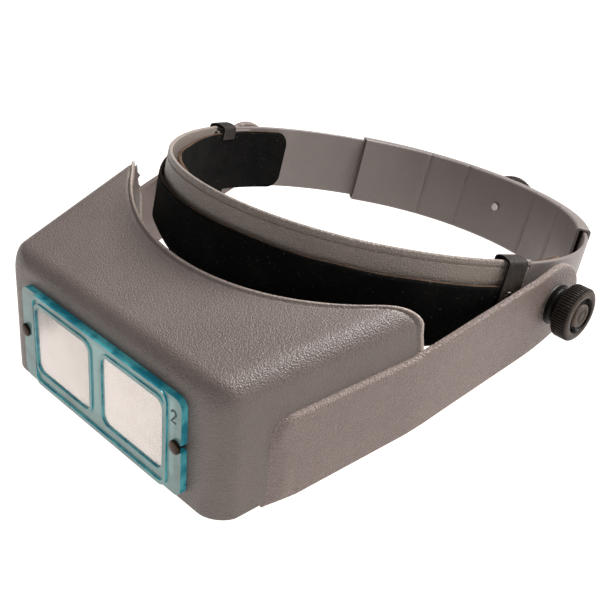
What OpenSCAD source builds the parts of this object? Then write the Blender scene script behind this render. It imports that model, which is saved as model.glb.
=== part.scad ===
// Head visor magnifier: a moulded visor with a two-lens plate, hinged on an adjustable headband.
// The origin is on the surface it stands on, under its middle. X is across the face, and the
// wearer looks towards -Y. Millimetres.

/* [Visor] */
// From the pivot axis forward to the front of the lens plate
reach = 165.8; // [160:0.1:172]
// From the pivot axis down to the middle of the lens plate
drop = 30; // [26:0.5:34]
// Half the visor's width at the front wall
front_half = 72; // [68:0.5:74]
// Half the visor's width where its sides end
rear_half = 93.65; // [92:0.05:95]
// Wall of the visor
wall = 2.6; // [2:0.1:3]
// Radius of the cut-out for the forehead, about the pivot
brow_r = 119; // [117:0.5:122]
// Nose-down pitch of the visor as it stands
visor_pitch = 3; // [2:0.1:4]

/* [Lens plate] */
// Width of the lens plate
plate_w = 110; // [106:1:114]
// Height of the lens plate
plate_h = 45; // [43:0.5:47]
// Thickness of the lens plate
plate_t = 4; // [3.5:0.1:4.5]
// Width of each lens opening
window_w = 39.8; // [36:0.1:40]
// Height of each lens opening
window_h = 32.8; // [30:0.1:34]
// Half the distance between the two lens centres
eye_half = 24.3; // [23.5:0.1:25]
// Thickness of a lens at its rim
lens_t = 2.4; // [2:0.1:2.5]

/* [Arms] */
// Thickness of each arm
arm_t = 3.3; // [3:0.1:4]
// Outer face of the arms at the pivot, from the middle
arm_x = 103.6; // [103.5:0.1:104]
// Radius of the round end of each arm
arm_end_r = 17.8; // [17:0.1:19]

/* [Headband] */
// Half the width of the headband
band_a = 96.6; // [96:0.1:97]
// Half the length of the headband
band_b = 112.3; // [111:0.1:113]
// Radius of the headband's front and rear arcs
band_end_r = 87; // [85:0.5:89]
// Thickness of the plastic straps
strap_t = 2; // [1.6:0.1:2]
// Height of the side straps
strap_h = 34; // [32:0.5:35]

/* [Knobs] */
// Radius of the pivot knobs
knob_r = 12.2; // [11:0.1:15]
// Length of a pivot knob's knurled head
knob_len = 8.4; // [7:0.1:9]
// Number of ribs around a knob
knob_ribs = 60; // [40:2:72]
// Radius of the rear adjuster knob
adjuster_r = 17.3; // [14:0.1:17.3]

/* [Hidden] */
$fn = 64;
fit = 0.05;                 // radial clearance of a running fit
big = 400;                  // larger than the whole object
middle_y = 22.205;          // the pivot axis, behind the middle of the object

// visor, from the pivot axis
wall_y = plate_t - reach;   // outside of the front wall
side_end_y = -75.8;         // where the sides end and the arms begin
sill_z = -26.5 - drop;      // lower edge of the front wall
sill_len = 8;               // depth of the part of the lower edge that stands on the table
pivot_z = wall_y * sin(visor_pitch) - sill_z * cos(visor_pitch);
side_end_z = -34.6;         // lower edge where the sides end
notch_z = -0.2;             // top edge of the arm where it leaves the side
roof_z = 3.3;               // top of the front wall
roof_slope = tan(11.6);     // slope of the roof
front_round = 7;            // radius of the roof's front edge
corner_round = 10;          // radius of the front corners
flare = (rear_half - front_half) / (side_end_y - wall_y);
panel_y = 25 - reach;       // front edge of the raised arm panel
panel_rise = 2;             // how far the panel stands out from the side
arm_slope = 12.9;           // slope of the arm's upper and lower edges, in degrees
arm_low = [-62.3, -33.6];   // where the arm's lower edge meets the panel's
panel_low_z = -54.9;        // front lower corner of the panel
panel_top_z = -12.8;        // front end of the panel's top edge
panel_round = 7;            // radius of its upper front corner
horn_step = 2;              // how far the horns' rear edges lean forward
horn_r = 9;                 // rounding of the horns' upper corners
tip_y = side_end_y - horn_step - horn_r;
brow_half = 88;             // half the width of the cut-out
brow_low = -24;             // how far down the cut-out reaches
tooth_z = [3.4, 9.2];       // heights of the catch teeth on each horn
tooth_half = 2.8;           // half the height of a catch tooth
bead_w = 1.8;               // bead along the cut-out
bead_h = 0.7;
pad_y = -10;                // the arm is parallel to the middle plane behind this

// lens plate
pin_x = 52.2;
pin_z = 1.2;
pin_r = 1.5;
pin_head_r = 3;
clip_r = 3.6;
opening = [98, 38];         // hole in the front wall behind the plate
frame_rise = 1;             // how far the frames stand out from the plate's face
window_z = 0.8;
corner_r = 4;
seat_lip = 1.1;             // how far the lens is hidden behind the rim of its opening

// headband, from the pivot axis
side_r = (pow(band_a, 2) + pow(band_b - band_end_r, 2) - pow(band_end_r, 2))
  / (2 * (band_a - band_end_r));
side_c = side_r - band_a;           // centre of a side arc, past the middle
end_c = band_b - band_end_r;        // centre of an end arc
join_angle = atan2(end_c, side_c);  // where the arcs meet
arc_steps = 30;                     // facets on each arc
rim = strap_h / 2;
front_w = [-14, 18];        // lower and upper edge of the front strap
lap_y = -16;                // where a side strap meets the front strap
lap_end_y = -34;            // end of the lap joint
lap_back_y = -6;            // how far the lap's root runs back under the side strap
boss_r = 11.5;              // round pad around the pivot hole
bolt_r = 3;
bolt_head_r = 7;
bolt_head_t = 1.3;
pad_in = arm_x - arm_t;     // inner face of the arm
pad_out = band_a + 0.6;     // outer face of the strap's pad
washer_r = 10.5;
spring_t = 0.8;
spring_r = 9;
collar_t = 4;
collar_r = 9.3;
lap_w = [-13, 16];          // lower and upper edge of the lap
rivet_w = [-7, 9];          // heights of the two rivets at each temple
rivet_r = 1.2;
knob_in = arm_x + spring_t + collar_t + 0.5;
knob_out = knob_in + knob_len;
cap_r = 5.4;

// comfort band
leather_t = 1.4;
leather_in = -4;            // inner layer, from the strap's outer face
leather_out = 0.5;          // outer layer, from the strap's outer face
leather_top = 15.5;
leather_low = -19;
flap_top = 7;
tab_y = 22;                 // where the inner layer ends
loop_y = [-32, -21.5];      // front and rear edge of the loops
loop_t = 0.9;
loop_w = [-4, 6];           // where its outer and inner ends stop
stud_y = -28;
stud_w = 3;
stud_r = 2.6;

// back sleeve and adjuster
sleeve_w = [-18.5, 18.4];
sleeve_wall = 1.4;
sleeve_angle = 47;          // half the angle that the sleeve covers
channel = [-3.8, 0.3];      // inner and outer wall of the channel, from the strap's outer face
channel_w = [-17.3, 17.3];
crease_angle = 16;
crease = 0.8;
tooth = 3.1416;             // pitch of the rack and of the pinion
pinion_teeth = 10;
pinion_r = pinion_teeth * tooth / (2 * PI);
tooth_h = 0.9;              // tooth height above or below the pitch line
rack_teeth = 13;
finger_w = [6.2, 14.8];     // a strap's rear finger, above or below the pinion
finger_angle = 26;          // where a full-height strap narrows to its finger
finger_end = 24;            // how far a finger runs past the middle
spindle_r = 1.4;
spindle_head_r = 2;
adjuster_w = 1.5;           // height of the adjuster's axis above the middle of the straps
adjuster_y = band_b + sleeve_wall + 0.9;
adjuster_len = 9;

// the headband leans back until its sleeve stands on the table
sleeve_reach = [band_b + channel[1] + sleeve_wall, -sleeve_w[0]];
band_pitch = asin(pivot_z / norm(sleeve_reach)) - atan2(sleeve_reach[1], sleeve_reach[0]);

// ---- placing ----
module from_pivot(pitch) {
  translate([0, middle_y, pivot_z]) rotate([-pitch, 0, 0]) children();
}
module in_visor() { from_pivot(visor_pitch) children(); }
module in_band() { from_pivot(band_pitch) children(); }
module mirrored(side) { if (side > 0) children(); else mirror([1, 0, 0]) children(); }
module along_x(x0, x1, r) {
  translate([x0, 0, 0]) rotate([0, 90, 0]) cylinder(r = r, h = x1 - x0);
}
// stands a drawing of (y, z) up in the YZ plane and extrudes it from x0 to x1
module profile_x(x0, x1) {
  translate([x0, 0, 0]) rotate([90, 0, 90]) linear_extrude(x1 - x0) children();
}
function arc(c, r, a0, a1, n) =
  [for (i = [0:n]) c + r * [cos(a0 + (a1 - a0) * i / n), sin(a0 + (a1 - a0) * i / n)]];

// ---- visor ----
function roof(y) = roof_z + roof_slope * (y - wall_y);
module side_profile(inset) {
  front = wall_y + inset;
  r = front_round - inset;
  polygon(concat(
    [[front, sill_z - inset], [wall_y + sill_len, sill_z + sill_len * tan(visor_pitch) - inset]],
    [[side_end_y + inset, side_end_z - inset], [side_end_y + inset, notch_z]],
    arc([tip_y + inset, roof(tip_y) - horn_r - inset], horn_r, 0, 90, 8),
    arc([front + r, roof(front + r) - inset - r - 0.3], r, 90, 180, 8)
  ));
}
module plan(inset) {
  x0 = front_half - inset;
  x1 = rear_half - inset + flare * inset;
  y0 = wall_y + inset;
  y1 = side_end_y + inset;
  r = corner_round - inset;
  polygon(concat(
    arc([x0 - r, y0 + r], r, -90, 0, 6), [[x1, y1], [-x1, y1]],
    arc([r - x0, y0 + r], r, 180, 270, 6)
  ));
}
module visor_block(inset) {
  intersection() {
    profile_x(-big / 2, big / 2) side_profile(inset);
    translate([0, 0, -big / 2]) linear_extrude(big) plan(inset);
  }
}
module visor_walls() {
  difference() {
    visor_block(0);
    visor_block(wall);
    translate([0, 0, brow_low]) intersection() {
      cylinder(r = brow_r, h = big / 2, $fn = 180);
      translate([-brow_half, -brow_r, 0]) cube([2 * brow_half, brow_r, big / 2]);
    }
  }
}
module brow_bead() {
  intersection() {
    difference() {
      cylinder(r = brow_r + bead_w, h = big / 2, $fn = 180);
      translate([0, 0, -1]) cylinder(r = brow_r, h = big, $fn = 180);
    }
    profile_x(2 - brow_half, brow_half - 2) polygon([
      [wall_y, roof(wall_y) - wall / 2], [tip_y, roof(tip_y) - wall / 2],
      [tip_y, roof(tip_y) + bead_h], [wall_y, roof(wall_y) + bead_h]
    ]);
  }
}
// catch teeth behind each horn, on the inside of the side
module horn_teeth() {
  for (z = tooth_z) profile_x(rear_half - wall - 0.9, rear_half - 1)
    polygon([[side_end_y - 3.2, z - tooth_half], [side_end_y + 1.2, z], [side_end_y - 3.2, z + tooth_half]]);
}
module arm_profile() {
  corner = [panel_y + panel_round, panel_top_z - panel_round];
  polygon(concat(
    [[panel_y, panel_low_z], arm_low],
    arc([0, 0], arm_end_r, arm_slope - 90, arm_slope + 90, 40),
    [[side_end_y, notch_z], [corner[0], panel_top_z]],
    arc(corner, panel_round, 98, 180, 6)
  ));
}
module arm_plan() {
  x_panel = front_half + flare * (panel_y - wall_y) + panel_rise;
  x_side = rear_half + panel_rise;
  polygon([
    [x_panel, panel_y], [x_side, side_end_y], [arm_x, pad_y], [arm_x, big / 4],
    [pad_in, big / 4], [pad_in, pad_y], [x_side - arm_t, side_end_y], [x_panel - arm_t, panel_y]
  ]);
}
module arm() {
  difference() {
    intersection() {
      profile_x(0, big / 2) arm_profile();
      translate([0, 0, -big / 2]) linear_extrude(big) arm_plan();
    }
    along_x(pad_in - 1, arm_x + 1, bolt_r + fit);
  }
}
module plate_face() { translate([0, -reach, -drop]) rotate([90, 0, 0]) children(); }
module visor_shell() {
  color("#8a817c") in_visor() difference() {
    union() {
      visor_walls();
      brow_bead();
      for (side = [-1, 1]) mirrored(side) {
        arm();
        horn_teeth();
      }
    }
    plate_face() {
      translate([-opening[0] / 2, -opening[1] / 2, -plate_t - wall - 1])
        cube([opening[0], opening[1], wall + 2]);
      for (side = [-1, 1])
        translate([side * pin_x, pin_z, -plate_t - wall - 1]) cylinder(r = pin_r + fit, h = wall + 2);
    }
  }
}

// ---- lens plate ----
module round_rect(w, h, r) {
  square([w - 2 * r, h], center = true);
  square([w, h - 2 * r], center = true);
  for (sx = [-1, 1], sy = [-1, 1]) translate([sx * (w / 2 - r), sy * (h / 2 - r)]) circle(r = r);
}
module windows(grow) {
  for (side = [-1, 1]) translate([side * eye_half, window_z])
    round_rect(window_w + 2 * grow, window_h + 2 * grow, corner_r + grow / 2);
}
module lens_plate_frame() {
  color([0.42, 0.66, 0.7, 0.9]) in_visor() plate_face() difference() {
    union() {
      translate([0, 0, -plate_t + 0.05]) linear_extrude(plate_t - frame_rise + 0.05)
        round_rect(plate_w, plate_h, corner_r);
      translate([0, 0, -frame_rise]) linear_extrude(frame_rise) difference() {
        round_rect(plate_w, plate_h, corner_r);
        round_rect(plate_w - 4, plate_h - 4, corner_r - 1);
      }
      translate([0, 0, -frame_rise]) linear_extrude(frame_rise) windows(2);
    }
    translate([0, 0, -plate_t - 1]) linear_extrude(plate_t + 2) windows(0);
    translate([0, 0, -plate_t - 1]) linear_extrude(lens_t + 1.4) windows(seat_lip);
    for (side = [-1, 1]) translate([side * pin_x, pin_z, -plate_t - 1]) {
      cylinder(r = pin_r + 0.15, h = plate_t + 2);
      translate([side > 0 ? 0 : -1, -pin_r - 0.15, 0]) cube([side > 0 ? 5 : 2, 2 * pin_r + 0.3, plate_t + 2]);
      translate([0, 0, plate_t]) cylinder(r = pin_head_r + 0.4, h = 3);
    }
  }
}
module lens(side) {
  bulge_r = 190;
  color([0.9, 0.93, 0.95, 0.4]) in_visor() plate_face()
    translate([side * eye_half, window_z, -plate_t + 0.1]) intersection() {
      linear_extrude(lens_t + 1.2)
        round_rect(window_w + 2 * seat_lip - 0.3, window_h + 2 * seat_lip - 0.3, corner_r + seat_lip / 2);
      translate([0, 0, lens_t + 1 - bulge_r]) sphere(r = bulge_r, $fn = 400);
    }
}
module lens_pin(side) {
  head_t = 1.8;
  color("#4a3d31") in_visor() plate_face() translate([side * pin_x, pin_z, -plate_t - wall - 2.5]) {
    cylinder(r = pin_r, h = plate_t + wall + 2.5);
    translate([0, 0, plate_t + wall + 1.7]) cylinder(r = pin_head_r, h = head_t - 0.8);
    translate([0, 0, plate_t + wall + 1.7 + head_t - 0.8]) intersection() {
      translate([0, 0, -6.8]) sphere(r = 7.6);
      cylinder(r = pin_head_r, h = 2);
    }
  }
}
module lens_pin_clip(side) {
  color("silver") in_visor() plate_face() translate([side * pin_x, pin_z, -plate_t - wall - 0.9])
    difference() {
      cylinder(r = clip_r, h = 0.8);
      translate([0, 0, -1]) cylinder(r = pin_r + fit, h = 3);
    }
}

// ---- pivots ----
module pivot_bolt(side) {
  head_x = band_a - strap_t - bolt_head_t - 0.3;
  color("#9a9690") in_band() mirrored(side) {
    along_x(head_x, head_x + bolt_head_t, bolt_head_r);
    along_x(head_x + 0.5, knob_out - 4.2, bolt_r);
  }
}
module ring_x(x0, x1, r) {
  difference() {
    along_x(x0, x1, r);
    along_x(x0 - 1, x1 + 1, bolt_r + fit);
  }
}
module friction_washer(side) {
  color("#26262a") in_band() mirrored(side) ring_x(pad_out + 0.1, pad_in - 0.1, washer_r);
}
module spring_washer(side) {
  color("#6f6c69") in_band() mirrored(side) ring_x(arm_x + 0.1, arm_x + spring_t, spring_r);
}
module pivot_collar(side) {
  color("#1d1d1f") in_band() mirrored(side)
    ring_x(arm_x + spring_t + 0.1, arm_x + spring_t + collar_t, collar_r);
}
// a knurled knob head along +X from x0, with a recess in its face for a cap
module knurled(x0, len, r, ribs, recess_r, bore_r, bore_len) {
  groove_r = PI * r / ribs * 0.6;
  difference() {
    union() {
      along_x(x0, x0 + len - 1, r - 0.5);
      along_x(x0 + len - 1.05, x0 + len, r - 1);
      for (i = [0:ribs - 1]) rotate([i * 360 / ribs, 0, 0])
        translate([x0 + 0.8, -groove_r / 2, r - 1.2]) cube([len - 2.2, groove_r, 1.2]);
    }
    along_x(x0 + len - 1.5, x0 + len + 1, recess_r);
    along_x(x0 - 1, x0 + bore_len, bore_r);
  }
}
module pivot_knob(side) {
  color("#161617") in_band() mirrored(side)
    knurled(knob_in, knob_len, knob_r, knob_ribs, cap_r + 0.1, bolt_r + fit, knob_len - 3);
}
module knob_cap(side) {
  color("#2b2927") in_band() mirrored(side) along_x(knob_out - 1.4, knob_out + 0.2, cap_r);
}

// ---- headband ----
// the outline of the headband, grown outwards: four arcs that meet smoothly
function quarter_arcs(grow, turn) = concat(
  arc(turn * [-side_c, 0], turn * (side_r + grow), -join_angle, join_angle, arc_steps),
  arc(turn * [0, end_c], turn * (band_end_r + grow), join_angle, 180 - join_angle, arc_steps)
);
module oval(grow) { polygon(concat(quarter_arcs(grow, 1), quarter_arcs(grow, -1))); }
// a band between two offsets of the oval, from w[0] to w[1], within the children's outline
module hoop(inner, outer, w) {
  translate([0, 0, w[0]]) linear_extrude(w[1] - w[0]) intersection() {
    difference() {
      oval(outer);
      oval(inner);
    }
    children();
  }
}
module y_between(y0, y1) { translate([-big / 2, y0]) square([big, y1 - y0]); }
module quarter(y0, y1) { translate([0, y0]) square([big / 2, y1 - y0]); }
module rear_wedge(half) {
  polygon([[0, 0], [big * sin(half), big * cos(half)], [0, big], [-big * sin(half), big * cos(half)]]);
}
// around the rear arc's centre, turned from the rear by an angle towards +X
module on_rear_arc(angle) { translate([0, end_c, 0]) rotate([0, 0, -angle]) children(); }
// an angular sector of the rear arc, between two angles from the rear towards +X
module rear_sector(a0, a1) {
  translate([0, end_c]) polygon(concat([[0, 0]],
    [for (i = [0:6]) big * [sin(a0 + (a1 - a0) * i / 6), cos(a0 + (a1 - a0) * i / 6)]]));
}
module temple_holes(r) {
  for (w = rivet_w) translate([0, (lap_y + lap_end_y) / 2, w])
    along_x(band_a - 12, band_a + 4, r);
}
module front_strap() {
  color("#857c76") in_band() difference() {
    hoop(-strap_t, 0, front_w) y_between(-big / 2, lap_y - 0.15);
    for (side = [-1, 1]) mirrored(side) temple_holes(rivet_r + fit);
  }
}
module rack_tooth() {
  base = tooth / 4 + 0.35;
  tip = tooth / 4 - 0.5;
  translate([0, band_end_r - strap_t, 0]) rotate([-90, 0, 0]) linear_extrude(strap_t - 0.1)
    polygon([[-base, -0.6], [base, -0.6], [tip, 2 * tooth_h - 0.3], [-tip, 2 * tooth_h - 0.3]]);
}
// the rear finger of a strap, above the pinion, with its rack underneath
module rack_finger() {
  hoop(-strap_t, 0, finger_w) rear_sector(-finger_end, finger_angle + 1);
  for (i = [0:rack_teeth - 1])
    on_rear_arc((i - (rack_teeth - 1) / 2) * tooth / (band_end_r * PI / 180))
      translate([0, 0, finger_w[0]]) rack_tooth();
}
module side_strap(side) {
  color("#7d7472") in_band() mirrored(side) difference() {
    union() {
      hoop(-strap_t, 0, [-rim + 0.5, rim]) difference() {
        quarter(lap_y, big / 2);
        rear_sector(-90, finger_angle);
      }
      hoop(-2 * strap_t + 0.2, -strap_t - 0.05, lap_w) quarter(lap_end_y, lap_y - 0.5);
      hoop(-2 * strap_t + 0.2, -strap_t + 0.05, lap_w) quarter(lap_y + 0.1, lap_back_y);
      hoop(-2 * strap_t + 0.2, -strap_t - 0.05, lap_w) quarter(lap_y - 0.6, lap_y + 0.2);
      along_x(band_a - strap_t, pad_out, boss_r);
      translate([0, 0, adjuster_w]) mirror([0, 0, side > 0 ? 0 : 1]) rack_finger();
    }
    along_x(band_a - 12, band_a + 4, bolt_r + fit);
    along_x(band_a - strap_t - bolt_head_t - 3, band_a - strap_t - 0.2, bolt_head_r + 1);
    temple_holes(rivet_r + fit);
  }
}
module temple_rivets() {
  color("#8f8a84") in_band() for (side = [-1, 1], w = rivet_w) mirrored(side)
    translate([0, (lap_y + lap_end_y) / 2, w]) along_x(band_a - 6.4, band_a - 2.9, rivet_r);
}

// ---- comfort band ----
module comfort_band() {
  low = [leather_low - leather_t, leather_low + 0.05];
  color("#191816") in_band() {
    hoop(leather_in - leather_t, leather_in, [leather_low, leather_top]) y_between(-big / 2, tab_y);
    hoop(leather_out, leather_out + leather_t, [leather_low, flap_top]) y_between(-big / 2, loop_y[1]);
    hoop(leather_in - leather_t, leather_out + leather_t, low) y_between(-big / 2, loop_y[1]);
  }
}
module comfort_loop(side) {
  outside = leather_out + leather_t + 0.1;
  inside = leather_in - leather_t - 0.1;
  top = front_w[1] + 0.4;
  color("#151513") in_band() mirrored(side) {
    hoop(outside, outside + loop_t, [loop_w[0], top + loop_t]) quarter(loop_y[0], loop_y[1]);
    hoop(inside - loop_t, outside + loop_t, [top, top + loop_t]) quarter(loop_y[0], loop_y[1]);
    hoop(inside - loop_t, inside, [loop_w[1], top + loop_t]) quarter(loop_y[0], loop_y[1]);
  }
}
module loop_stud(side) {
  out = leather_out + leather_t + loop_t + 0.1;
  color("#c9c5bd") in_band() mirrored(side) translate([-side_c, 0, stud_w])
    rotate([0, 0, asin(stud_y / (side_r + out))]) {
      along_x(side_r + out + 0.05, side_r + out + 0.6, stud_r);
      along_x(side_r + out + 0.5, side_r + out + 1.1, 0.6 * stud_r);
    }
}

// ---- back sleeve and adjuster ----
module back_sleeve() {
  color("#7a7170") in_band() difference() {
    hoop(channel[0] - sleeve_wall, channel[1] + sleeve_wall, sleeve_w) rear_wedge(sleeve_angle);
    hoop(channel[0], channel[1], channel_w) rear_wedge(sleeve_angle + 5);
    for (i = [-2, -1, 1, 2]) on_rear_arc(i * crease_angle)
      translate([-crease / 2, band_end_r + channel[0] - sleeve_wall - 1, -big / 2])
        cube([crease, 1.4, big]);
    along_y(band_b - 20, band_b + 20, spindle_r + fit);
  }
}
// along the adjuster's axis
module along_y(y0, y1, r) {
  translate([0, y0, adjuster_w]) rotate([-90, 0, 0]) cylinder(r = r, h = y1 - y0);
}
module adjuster_spindle() {
  inner = band_b + channel[0] - sleeve_wall;
  color("#c4bfb6") in_band() {
    along_y(inner - 1, inner - 0.1, spindle_head_r);
    along_y(inner - 0.5, adjuster_y + adjuster_len - 2.5, spindle_r);
  }
}
module adjuster_pinion() {
  base = tooth / 4 + 0.1;
  tip = tooth / 4 - 0.45;
  color("#d8d4c8") in_band() difference() {
    union() {
      along_y(band_b - strap_t, band_b, pinion_r - tooth_h);
      for (i = [0:pinion_teeth - 1])
        translate([0, band_b - strap_t, adjuster_w]) rotate([-90, 0, 0])
          rotate([0, 0, (i + 0.5) * 360 / pinion_teeth])
            linear_extrude(strap_t) translate([0, pinion_r])
              polygon([[-base, -tooth_h - 0.4], [base, -tooth_h - 0.4],
                [tip, tooth_h - 0.3], [-tip, tooth_h - 0.3]]);
    }
    along_y(band_b - 10, band_b + 10, spindle_r + fit);
  }
}
module adjuster_knob() {
  color("#151516") in_band() translate([0, 0, adjuster_w]) rotate([0, 0, 90])
    knurled(adjuster_y, adjuster_len, adjuster_r, knob_ribs + 6, cap_r + 1.1, spindle_r + fit,
      adjuster_len - 2.4);
}
module adjuster_cap() {
  color("#2b2927") in_band()
    along_y(adjuster_y + adjuster_len - 1.4, adjuster_y + adjuster_len + 0.2, cap_r + 1);
}

visor_shell();
lens_plate_frame();
lens(1);  // lens_left
lens(-1);  // lens_right
lens_pin(1);  // lens_pin_left
lens_pin(-1);  // lens_pin_right
lens_pin_clip(1);  // lens_pin_clip_left
lens_pin_clip(-1);  // lens_pin_clip_right
pivot_bolt(1);  // pivot_bolt_left
pivot_bolt(-1);  // pivot_bolt_right
friction_washer(1);  // friction_washer_left
friction_washer(-1);  // friction_washer_right
spring_washer(1);  // spring_washer_left
spring_washer(-1);  // spring_washer_right
pivot_collar(1);  // pivot_collar_left
pivot_collar(-1);  // pivot_collar_right
pivot_knob(1);  // pivot_knob_left
pivot_knob(-1);  // pivot_knob_right
knob_cap(1);  // knob_cap_left
knob_cap(-1);  // knob_cap_right
front_strap();
side_strap(1);  // side_strap_left
side_strap(-1);  // side_strap_right
temple_rivets();
comfort_band();
comfort_loop(1);  // comfort_loop_left
comfort_loop(-1);  // comfort_loop_right
loop_stud(1);  // loop_stud_left
loop_stud(-1);  // loop_stud_right
back_sleeve();
adjuster_spindle();
adjuster_pinion();
adjuster_knob();
adjuster_cap();
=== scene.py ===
import math
from math import radians

import bmesh
import bpy
from mathutils import Matrix, Vector, noise


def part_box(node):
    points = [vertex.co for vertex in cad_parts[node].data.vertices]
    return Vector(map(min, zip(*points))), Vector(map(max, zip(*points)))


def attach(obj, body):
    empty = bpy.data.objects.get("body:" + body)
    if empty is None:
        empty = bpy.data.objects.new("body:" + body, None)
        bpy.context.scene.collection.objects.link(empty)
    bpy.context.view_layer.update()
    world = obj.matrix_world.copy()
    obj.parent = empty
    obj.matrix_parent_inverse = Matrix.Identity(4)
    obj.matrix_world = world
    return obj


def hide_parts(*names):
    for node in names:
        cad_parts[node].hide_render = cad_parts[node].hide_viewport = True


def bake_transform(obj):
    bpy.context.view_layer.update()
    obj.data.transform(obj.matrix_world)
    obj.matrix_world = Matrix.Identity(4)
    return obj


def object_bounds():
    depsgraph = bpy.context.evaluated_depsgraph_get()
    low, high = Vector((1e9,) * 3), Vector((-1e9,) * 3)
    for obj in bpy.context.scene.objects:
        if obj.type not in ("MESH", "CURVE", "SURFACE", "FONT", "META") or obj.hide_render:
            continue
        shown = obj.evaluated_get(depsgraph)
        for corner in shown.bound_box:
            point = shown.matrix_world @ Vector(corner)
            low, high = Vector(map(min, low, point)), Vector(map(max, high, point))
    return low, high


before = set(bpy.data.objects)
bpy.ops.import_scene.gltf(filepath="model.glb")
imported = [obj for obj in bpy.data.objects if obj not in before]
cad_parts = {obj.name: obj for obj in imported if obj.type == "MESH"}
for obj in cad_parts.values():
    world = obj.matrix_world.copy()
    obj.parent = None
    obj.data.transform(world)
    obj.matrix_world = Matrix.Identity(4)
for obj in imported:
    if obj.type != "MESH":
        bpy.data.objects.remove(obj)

cad_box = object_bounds()

# ---- sizes, in millimetres and degrees, most of them as in the CAD source ----
REACH, DROP = 165.8, 30.0
VISOR_PITCH = 3.0
WALL_Y, SIDE_END_Y, PANEL_Y = -161.8, -75.8, -140.8
HORN_STEP, HORN_R = 2.0, 9.0
TIP_Y = SIDE_END_Y - HORN_STEP - HORN_R
ROOF_Z, ROOF_SLOPE = 3.3, math.tan(radians(11.6))
SILL_Z, SILL_LEN, SIDE_END_Z, NOTCH_Z = -56.3, 8.0, -34.6, -0.2
FRONT_HALF, REAR_HALF, WALL, BROW_R = 72.0, 93.65, 2.6, 119.0
FLARE = (REAR_HALF - FRONT_HALF) / (SIDE_END_Y - WALL_Y)
FRONT_ROUND, CORNER_ROUND, TOP_ROUND = 7.0, 10.0, 9.0
PANEL_TOP_Z, PANEL_LOW_Z, PANEL_RISE, PANEL_CORNER, ARM_LOW = -12.8, -54.9, 2.0, 9.0, (-62.3, -33.6)
PLATE_W, PLATE_H, PLATE_T, TAB_X = 110.0, 45.0, 4.0, 47.0
WINDOW_W, WINDOW_H, WINDOW_Z, EYE_HALF, CORNER_R = 39.8, 32.8, 0.8, 24.3, 4.0
PIN_X, PIN_Z, PIN_R, PIN_HEAD_R = 52.2, 1.2, 1.5, 3.0
ARM_X, ARM_T, ARM_END_R, ARM_SLOPE, PAD_Y = 103.6, 3.3, 17.8, 12.9, -10.0
BAND_A, BAND_B, BAND_END_R, STRAP_T = 96.6, 112.3, 87.0, 2.0
BOLT_R, KNOB_R, KNOB_LEN, ADJUSTER_R, ADJUSTER_LEN, CAP_R = 3.0, 12.2, 8.4, 17.3, 9.0, 5.4
KNOB_IN = ARM_X + 0.8 + 4.0 + 0.5
KNOB_RIBS, COLLAR_R, ADJUSTER_W, FIT = 60, 9.3, 1.5, 0.05
LEATHER_T, LEATHER_IN, LEATHER_OUT = 1.4, -4.0, 0.5
LEATHER_TOP, LEATHER_LOW, FLAP_TOP, TAB_Y = 15.5, -19.0, 7.0, 22.0
LOOP_Y, STUD_Y, STUD_W, STUD_R = (-32.0, -21.5), -28.0, 3.0, 2.6
CHANNEL, CHANNEL_W, SLEEVE_W, SLEEVE_WALL = (-3.8, 0.3), (-17.3, 17.3), (-18.5, 18.4), 1.4
SLEEVE_ANGLE, CREASE_ANGLE = 47.0, 16.0


def centre(node):
    low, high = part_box(node)
    return (low + high) / 2


PIVOT = Vector((0, centre("pivot_bolt_left").y, centre("pivot_bolt_left").z))
AXLE = centre("adjuster_cap") - PIVOT
ADJUSTER_IN = BAND_B + SLEEVE_WALL + 0.9
CAP_MIDDLE = ADJUSTER_IN + ADJUSTER_LEN - 0.6
BAND_PITCH = math.degrees(math.atan2(-AXLE.z, AXLE.y) + math.atan2(ADJUSTER_W, CAP_MIDDLE))


def pitched(degrees):
    """From millimetres about the pivot axis to the frame."""
    return Matrix.Translation(PIVOT) @ Matrix.Rotation(-radians(degrees), 4, "X") @ Matrix.Scale(0.001, 4)


VISOR = pitched(VISOR_PITCH)
BAND = pitched(BAND_PITCH)
PLATE = VISOR @ Matrix.Translation((0, -REACH, -DROP)) @ Matrix.Rotation(radians(90), 4, "X")


# ---- camera ----
camera = bpy.data.objects.new("camera", bpy.data.cameras.new("camera"))
bpy.context.scene.collection.objects.link(camera)
bpy.context.scene.camera = camera
camera.data.lens, camera.data.sensor_width = 60.4, 36
camera.data.clip_start, camera.data.clip_end = 0.02, 20
look = Vector((-0.59743, 0.60379, -0.52776)).normalized()
camera.location = PIVOT + Vector((0.28689, -0.34114, 0.22656))
camera.rotation_mode = "QUATERNION"
roll = Matrix.Rotation(radians(2.6), 3, "Z").to_quaternion()
camera.rotation_quaternion = look.to_track_quat("-Z", "Y") @ roll


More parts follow.
